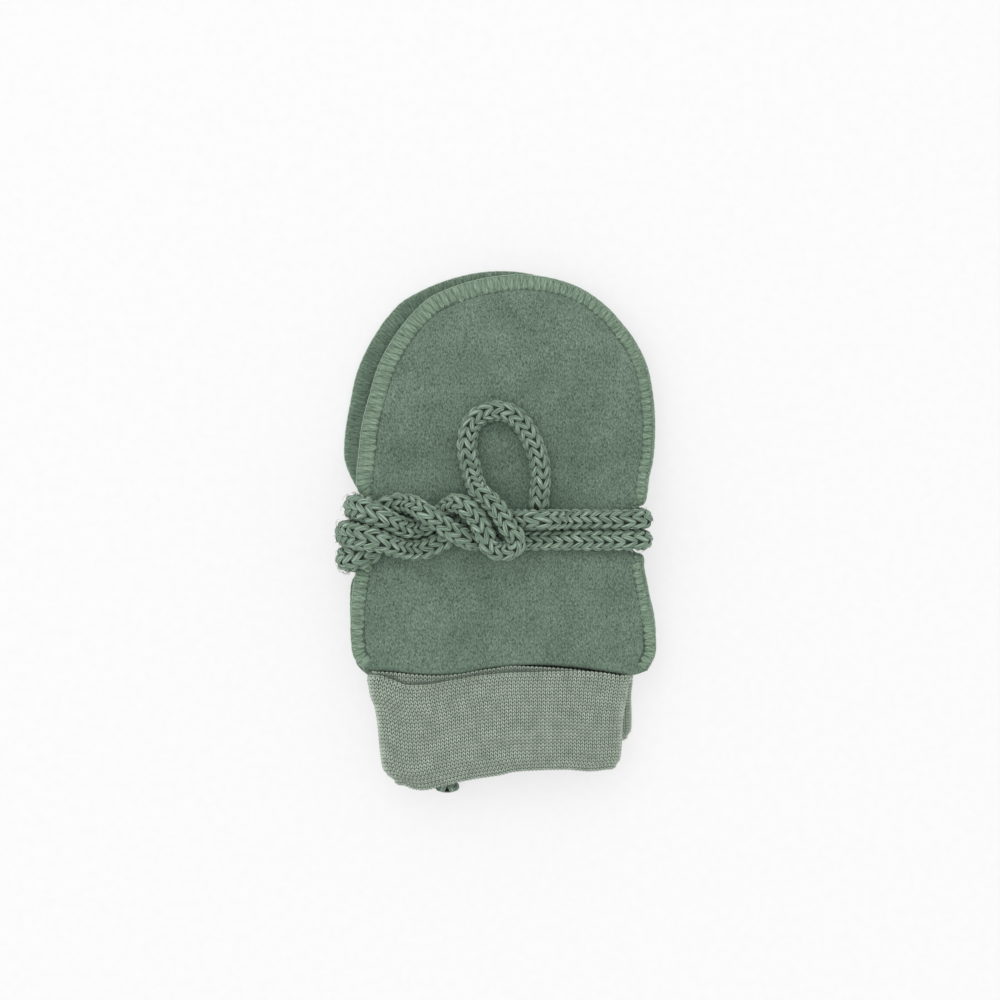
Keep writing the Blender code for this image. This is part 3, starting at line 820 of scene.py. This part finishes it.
# Heights in the flat stack, and how far the panels rise to the cuffs' middles
STEP = PANEL_WALL + LAYER_GAP
CUFF_HEIGHT = 4 * CUFF_WALL + 3 * LAYER_GAP
UPPER_PANELS = 2 * STEP - LAYER_GAP + MITTEN_GAP
LOWER_MIDDLE = CUFF_HEIGHT / 2
UPPER_MIDDLE = LOWER_MIDDLE + CUFF_HEIGHT + MITTEN_GAP
LOWER_RISE = LOWER_MIDDLE - (STEP + PANEL_WALL) / 2
UPPER_RISE = UPPER_MIDDLE - UPPER_PANELS - (STEP + PANEL_WALL) / 2


def panel_base(places, reach, layer, spread, rise):
    """Height of a panel's underside at (x, y) places, reach being the distance from the hem."""
    lifted = lift(places)
    return lifted + spread * puff(places, lifted) + layer + rise * (1 - ease(reach / HEM_RISE_LENGTH))


def make_panel(part, finish, is_lower, rise, layer, spread, columns, rows, top_side):
    """One panel as a closed cloth with a round rim, pressed thin under the overlock stitches.

    layer is its height in the flat stack, spread the share of the puff that raises it, rise how much higher it is at
    the hem to meet the cuff, and top_side whether its brushed side is on top.
    """
    name, node = part + "_cloth", part + "_panel"
    across = spaced(PANEL_WIDTH, columns)
    along = spaced(PANEL_LENGTH, rows)
    plan = panel_plan(across, along)
    shape = plan.shape[:2]
    places = plan.reshape(-1, 2)
    reach = np.repeat(along, len(across)) * PANEL_LENGTH
    from_sewn, seam_place = distance_to_path(places, SEWN)
    from_hem, _ = distance_to_path(places, smooth_through(HEM, np.linspace(0, 1, 60)))
    tuck = EDGE_TUCK * (1 - ease(from_sewn / TUCK_WIDTH)) * ease((from_hem + TUCK_HEM_FROM) / TUCK_HEM_FADE)
    places = places + along_seam(INWARD, seam_place) * tuck[:, None]
    lowered = to_lower(places) if is_lower else places
    base = panel_base(lowered, reach, layer, spread, rise)
    from_rim = np.minimum(from_sewn, from_hem)
    round_off = np.sqrt(np.clip(1 - (1 - np.clip(from_rim / RIM, 0, 1)) ** 2, 0, 1))
    groove = bite(seam_place)
    press = EDGE_PRESS * (1 - ease((from_sewn - groove + EDGE_PRESS_FROM) / EDGE_PRESS_FADE))
    dent = NEEDLE_DENT * np.exp(-(((from_sewn - groove) / NEEDLE_DENT_WIDTH) ** 2)) * (
        0.6 + 0.4 * np.cos(2 * math.pi * seam_place / STITCH)
    )
    relief = np.array([noise.noise(Vector((x * PILE_GRAIN, y * PILE_GRAIN, 3.0 + layer))) for x, y in places])
    outer = PANEL_WALL / 2 * round_off - (press + dent) * round_off
    inner = PANEL_WALL / 2 * round_off
    middle = base + PANEL_WALL / 2
    pile = PILE_HEIGHT * relief * ease(from_rim / PILE_FADE)
    high = middle + (outer + pile if top_side else inner)
    low = middle - (inner if top_side else outer + np.minimum(pile, 0))
    skins = [np.column_stack([lowered, height]).reshape(*shape, 3) for height in (high, low)]
    made = grid_object(name, skins[0], [finish])
    join_into(made, [grid_object(name + "_under", skins[1], [finish])])
    weld(made.data)
    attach(made, "root")
    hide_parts(node)
    return made


def make_overlock(name, thread, purl, needle, is_lower, rise, layer, spread):
    """The overlock edge: looper stitches over and under the two panels' edge, the purl along it, the needle line."""

    def place(along, depth, height, side=1.0):
        """Points on the wrapped edge: depth in from it, height off the cloth, on top (1) or under (-1)."""
        along = np.clip(along, 0, SEAM_LENGTH)
        edge = along_seam(SEWN, along)
        into = along_seam(INWARD, along)
        flat = edge + into * depth[:, None]
        inside = edge + into * np.maximum(depth, WRAP_CLEAR)[:, None]
        reach = np.clip(flat[:, 1] - HEM[0][1], 0, PANEL_LENGTH)
        flat, inside = (to_lower(flat), to_lower(inside)) if is_lower else (flat, inside)
        lowest = panel_base(inside, reach, layer, spread, rise)
        highest = panel_base(inside, reach, layer + STEP, spread + 1 / 3, rise) + PANEL_WALL
        half = (highest - lowest) / 2 - WRAP_SQUEEZE
        turned = np.sqrt(np.clip(1 - (1 - np.clip(depth / WRAP_ROUND, 0, 1)) ** 2, 0, 1))
        return np.column_stack([flat, (lowest + highest) / 2 + side * (half * turned + height)])

    count = int(SEAM_LENGTH / STITCH)
    middles = (np.arange(count) + 0.5) * STITCH
    share = np.linspace(0, 1, 10)
    cross = np.linspace(-1, 1, 9)
    # a stitch is two threads side by side with a shallow groove between them, and closes round at the needle line
    width = STITCH_WIDE * np.sqrt(np.clip(1 - np.clip((share - 0.7) / 0.3, 0, 1) ** 2.4, 0.02, 1))
    bulge = (1 - cross**4) * (1 - 0.35 * np.exp(-((cross / 0.3) ** 2)))
    high = np.interp(middles / SEAM_LENGTH, (0.5, 0.7), STITCH_HIGH)[:, None, None]
    pieces = []
    for side in (1.0, -1.0):
        uneven = np.array([noise.noise(Vector((middle * 0.7, side * 5.0, rise))) for middle in middles])
        depth = (bite(middles) * (1 + 0.16 * uneven))[:, None, None] * share[:, None]
        along = middles[:, None, None] + STITCH_LEAN * depth + width[:, None] * cross
        height = high * bulge - 0.12 - 0.1 * share[:, None]
        wrapped = partial(place, side=side)
        pieces.append(strand_set(f"{name}_{len(pieces)}", wrapped, along, depth, height, [thread, purl, needle]))
    # the purl runs along the very edge, up and down once for each stitch
    t = np.linspace(0, count, count * 8 + 1)
    rim = place(t * STITCH, 0.04 + 0.03 * np.sin(5 * t), 0.16 + 0.10 * np.sin(2 * math.pi * t))
    join_into(pieces[0], [tube(name + "_purl", rim, PURL, 6, [purl])], 1)
    # the needle thread dips into the cloth between its short dashes; its dark colour is painted shadow in the needle
    # holes
    dash = np.linspace(-0.24, 0.24, 5)
    along = (middles + 0.5 * STITCH + STITCH_LEAN * bite(middles))[:, None] + dash * STITCH
    dip = high[:, 0] / STITCH_HIGH[0] * 0.3 - 0.35 - 2.4 * dash**2
    angles = np.linspace(0, 2 * math.pi, 7)
    depth = bite(middles)[:, None, None] + 0.02 + NEEDLE * np.cos(angles)
    height = dip[..., None] + NEEDLE * np.sin(angles)
    join_into(pieces[0], [strand_set(name + "_needle", place, along[..., None], depth, height, [needle])], 2)
    made, other = pieces
    join_into(made, [other])
    made.name = name
    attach(made, "root")
    return made


# ------- cuffs

CUFF_CORE = CUFF_WALL / 2 + LAYER_GAP / 2
CUFF_FAR = CUFF_CORE + CUFF_WALL * 1.5 + LAYER_GAP
OUTER_NEAR = CUFF_WALL / 2 + LAYER_GAP
OUTER_FAR = OUTER_NEAR + CUFF_WALL
FOLD_BIG = (OUTER_FAR + CUFF_WALL / 2) / 2
SMOOTH_LINES = smooth_through(CUFF_LINES, np.linspace(0, 1, 300))
SMOOTH_SIDES = smooth_through(CUFF_SIDES, np.linspace(0, 1, 200))


def cuff_points(is_lower, middle, spreads, turn, line, place, out):
    """Millimetre points of a flattened, turned-up tube.

    turn goes once round it: 0 to 1 over the front, to 2 round the right side, to 3 over the back, to 4.
    line is 0 for the inner run, 1 for the outer one and 2 for the fold, place how far along that run,
    and out how far outwards from the inner run's middle.
    """
    turn, line, place, out = np.broadcast_arrays(turn, line, place, out)
    turn = turn % 4.0
    side = np.floor(turn)
    within = turn - side
    radius = CUFF_CORE + out
    sides = [side == 0, side == 1, side == 2]
    share = np.select(sides, [within, 1.0, 1 - within], 0.0)
    angle = within * math.pi
    past = np.select(sides, [0.0, radius * np.sin(angle), 0.0], -radius * np.sin(angle))
    height = np.select(sides, [radius, radius * np.cos(angle), -radius], -radius * np.cos(angle))
    seam, edge, fold = (np.interp(share, SMOOTH_LINES[:, 0], SMOOTH_LINES[:, i]) for i in (1, 2, 3))
    if is_lower:
        fold = fold + LOWER_CUFF_SHORT[0] + (LOWER_CUFF_SHORT[1] - LOWER_CUFF_SHORT[0]) * share
    fold = fold + CUFF_WALL + LAYER_GAP / 2
    y = np.select([line == 0, line == 1], [seam + (fold - seam) * place, edge + (fold - edge) * place], fold - place)
    down = np.clip((y - edge) / (fold - edge), 0, 1)
    left, right = (np.interp(down, SMOOTH_SIDES[:, 0], SMOOTH_SIDES[:, i]) for i in (1, 2))
    x = left + CUFF_FAR + share * (right - left - 2 * CUFF_FAR) + past
    flat = np.column_stack([x.ravel(), y.ravel()])
    if is_lower:
        flat = to_lower(flat + (LOWER_CUFF_SHIFT, 0.0))
    front = 0.5 + 0.5 * (height / np.maximum(radius, 0.01)).ravel()
    spread = spreads[0] + (spreads[1] - spreads[0]) * front
    lifted = lift(flat)
    z = lifted + spread * puff(flat, lifted) + middle + height.ravel()
    return np.column_stack([flat, z])


def make_cuff(node, yarn, cloth, is_lower, middle, spreads):
    """The cuff's cloth, one closed wall with a U section coloured dark as painted shade, and the knit stitches on what
    shows of it.

    middle is the height of the flattened tube's middle, and spreads the shares of the puff that raise its back and
    its front.
    """
    name = node + "_knit"
    half = CUFF_WALL / 2
    wall_out = OUTER_FAR - CUFF_SINK
    steps = np.linspace(0, 1, 14) ** 1.3

    def rolled(along):
        """How far the outer run stands out, most at the turned-up edge."""
        return CUFF_ROLL * (1 - ease(along / CUFF_ROLL_LENGTH))

    # the wall's section: down the inner run, round the fold, up the outer run, over its edge, and back between them
    fold_angles = np.linspace(0, math.pi, 9)[1:-1]
    fold_big = (wall_out + half) / 2
    section = [(0, place, -half) for place in steps]
    section += [(2, fold_big * math.sin(a), -half + fold_big * (1 - math.cos(a))) for a in fold_angles]
    section += [(1, place, wall_out + rolled(place * OUTER_RUN)) for place in steps[::-1]]
    section += [(1, -0.012, (wall_out + OUTER_NEAR + CUFF_ROLL) / 2)]
    section += [(1, place, OUTER_NEAR) for place in steps]
    section += [(2, LAYER_GAP / 2, half + LAYER_GAP / 2)]
    section += [(0, place, half) for place in steps[::-1]]
    section.append(section[0])
    section = np.array(section)
    face, bend = np.linspace(0, 1, 60), np.linspace(0, 1, 9)
    turns = np.concatenate([face, 1 + bend[1:], 2 + face[1:], 3 + bend[1:]])
    line, place, out = (np.repeat(column, len(turns)) for column in section.T)
    points = cuff_points(is_lower, middle, spreads, np.tile(turns, len(section)), line, place, out)
    shell = grid_object(name, points.reshape(len(section), len(turns), 3), [cloth])
    weld(shell.data)

    round_wales = 2 * (FRONT_WALES + SIDE_WALES)
    fold_length = math.pi * FOLD_BIG

    def turn_of(across):
        """How far across the stitches, to the turn round the tube."""
        wale = across / CUFF_WALE % round_wales
        stops = np.cumsum([0, FRONT_WALES, SIDE_WALES, FRONT_WALES, SIDE_WALES])
        return np.interp(wale, stops, np.arange(5.0))

    def share_of(across):
        """How far across the stitches, to the share of the way from the cuff's left side to its right one."""
        return np.interp(turn_of(across), np.arange(5.0), (0.0, 1.0, 1.0, 0.0, 0.0))

    def outer(across, along, out):
        """Places on the outer run: over the lip before its start, and round the fold past its end."""
        out = out - STITCH_SINK
        reach = 1 + LIP_RIGHT * ease((share_of(across) - LIP_RIGHT_FROM) / LIP_RIGHT_FADE)
        angle = np.clip((along - OUTER_RUN) / FOLD_BIG, 0, math.pi)
        lip_angle = np.clip(-along / CUFF_LIP, 0, math.pi)
        on_fold, on_lip = along > OUTER_RUN, along < 0
        line = np.where(on_fold, 2, 1)
        past_fold = (FOLD_BIG + out) * np.sin(angle)
        past_lip = -reach * (CUFF_LIP + out) * np.sin(lip_angle) / OUTER_RUN
        fold_height = OUTER_FAR - FOLD_BIG + (FOLD_BIG + out) * np.cos(angle)
        lip_height = OUTER_FAR + CUFF_ROLL - CUFF_LIP + (CUFF_LIP + out) * np.cos(lip_angle)
        place = np.select([on_fold, on_lip], [past_fold, past_lip], along / OUTER_RUN)
        height = np.select([on_fold, on_lip], [fold_height, lip_height], OUTER_FAR + out + rolled(along))
        return cuff_points(is_lower, middle, spreads, turn_of(across), line, place, height)

    def inner(across, along, out):
        """Places on the strip of the inner run that shows: up to the hem at its start, sunk in at its end."""
        bare = np.interp(share_of(across), SMOOTH_LINES[:, 0], SMOOTH_LINES[:, 1] - SMOOTH_LINES[:, 2])
        groove = GROOVE_SINK * ease((along - bare + CUFF_LIP + GROOVE_FROM + GROOVE_WIDTH) / GROOVE_FADE)
        up_to_hem = STRIP_RISE * (1 - ease(along / STRIP_RISE_LENGTH))
        height = half + np.maximum(up_to_hem, STRIP_OUT) + out - groove * ease(along / GROOVE_HEM_FADE)
        return cuff_points(is_lower, middle, spreads, turn_of(across), 0, along / INNER_RUN, height)

    rows = int((OUTER_RUN + FOLD_SHARE * fold_length) / CUFF_ROW)
    wales = range(round_wales)
    outside = [(CUFF_WALE * (wale + 0.5), CUFF_ROW * row) for row in range(-LIP_ROWS, rows) for wale in wales]
    inside = [(CUFF_WALE * (wale + 0.5), CUFF_ROW * row) for row in range(STRIP_ROWS) for wale in wales]
    stitches = stitch_legs(name + "_stitches", outside, outer, CUFF_SHAPE, [yarn])
    join_into(stitches, [stitch_legs(name + "_strip", inside, inner, CUFF_SHAPE, [yarn])])
    for piece in (shell, stitches):
        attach(piece, "root")
    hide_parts(node)
    return shell, stitches


# ------- the whole scene

make_camera()
cord_yarn = knit_yarn("cord wool yarn", "667A6B", "8CA290", "B6CAB9", around=5.0, strands=1808.0, groove="87938A")
# The cord's core is coloured dark: painted shade between the stitches.
cord_core_painted_shade = plain_cloth("cord wool between stitches, painted shade", "2C352E", "3A463C", 900.0)
make_cord(cord_yarn, cord_core_painted_shade)

pile = brushed_wool("brushed wool knit", "4B5B50", "6A7E6F", "889D8C")
thread = knit_yarn("overlock thread", "70866F", "859B87", "9CB29D", around=2.0, strands=250.0, groove="C4CCC5")
# The lower mitten's overlock thread is the upper one's made darker: painted shade, as it lies under the upper mitten.
thread_painted_shade = knit_yarn(
    "overlock thread of the lower mitten", "5B6F60", "6D8271", "819685", around=2.0, strands=250.0, groove="C4CCC5"
)
purl_thread = plain_cloth("purl thread", "869C89", "A0B4A2", 1500.0)
# The needle thread is dark as painted shadow in the needle holes.
needle_thread_painted_shadow = plain_cloth("needle thread in painted shadow", "445348", "56665A", 1500.0)
cuff_yarn = knit_yarn("fine cuff yarn", "B8C8B6", "D1DECE", "E7F1E4", around=2.0, strands=5000.0, groove="B4BDB5")
# The cuff's cloth under the stitches is coloured dark: painted shade between them.
cuff_cloth_painted_shade = plain_cloth("cuff knit between stitches, painted shade", "606C62", "727F73", 1200.0)

upper = {"is_lower": False, "rise": UPPER_RISE}
lower = {"is_lower": True, "rise": LOWER_RISE}
upper_front = make_panel(
    "upper_front", pile, layer=UPPER_PANELS + STEP, spread=1, columns=130, rows=170, top_side=True, **upper
)
upper_back = make_panel(
    "upper_back", pile, layer=UPPER_PANELS, spread=2 / 3, columns=60, rows=80, top_side=False, **upper
)
lower_front = make_panel("lower_front", pile, layer=STEP, spread=1 / 3, columns=90, rows=120, top_side=True, **lower)
lower_back = make_panel("lower_back", pile, layer=0.0, spread=0, columns=90, rows=120, top_side=False, **lower)
upper_thread = make_overlock(
    "upper_overlock", thread, purl_thread, needle_thread_painted_shadow, layer=UPPER_PANELS, spread=2 / 3, **upper
)
lower_thread = make_overlock(
    "lower_overlock", thread_painted_shade, purl_thread, needle_thread_painted_shadow, layer=0.0, spread=0, **lower
)
upper_shell, upper_stitches = make_cuff(
    "upper_cuff", cuff_yarn, cuff_cloth_painted_shade, is_lower=False, middle=UPPER_MIDDLE, spreads=(2 / 3, 1)
)
lower_shell, lower_stitches = make_cuff(
    "lower_cuff", cuff_yarn, cuff_cloth_painted_shade, is_lower=True, middle=LOWER_MIDDLE, spreads=(0, 1 / 3)
)

make_floor()
make_studio()
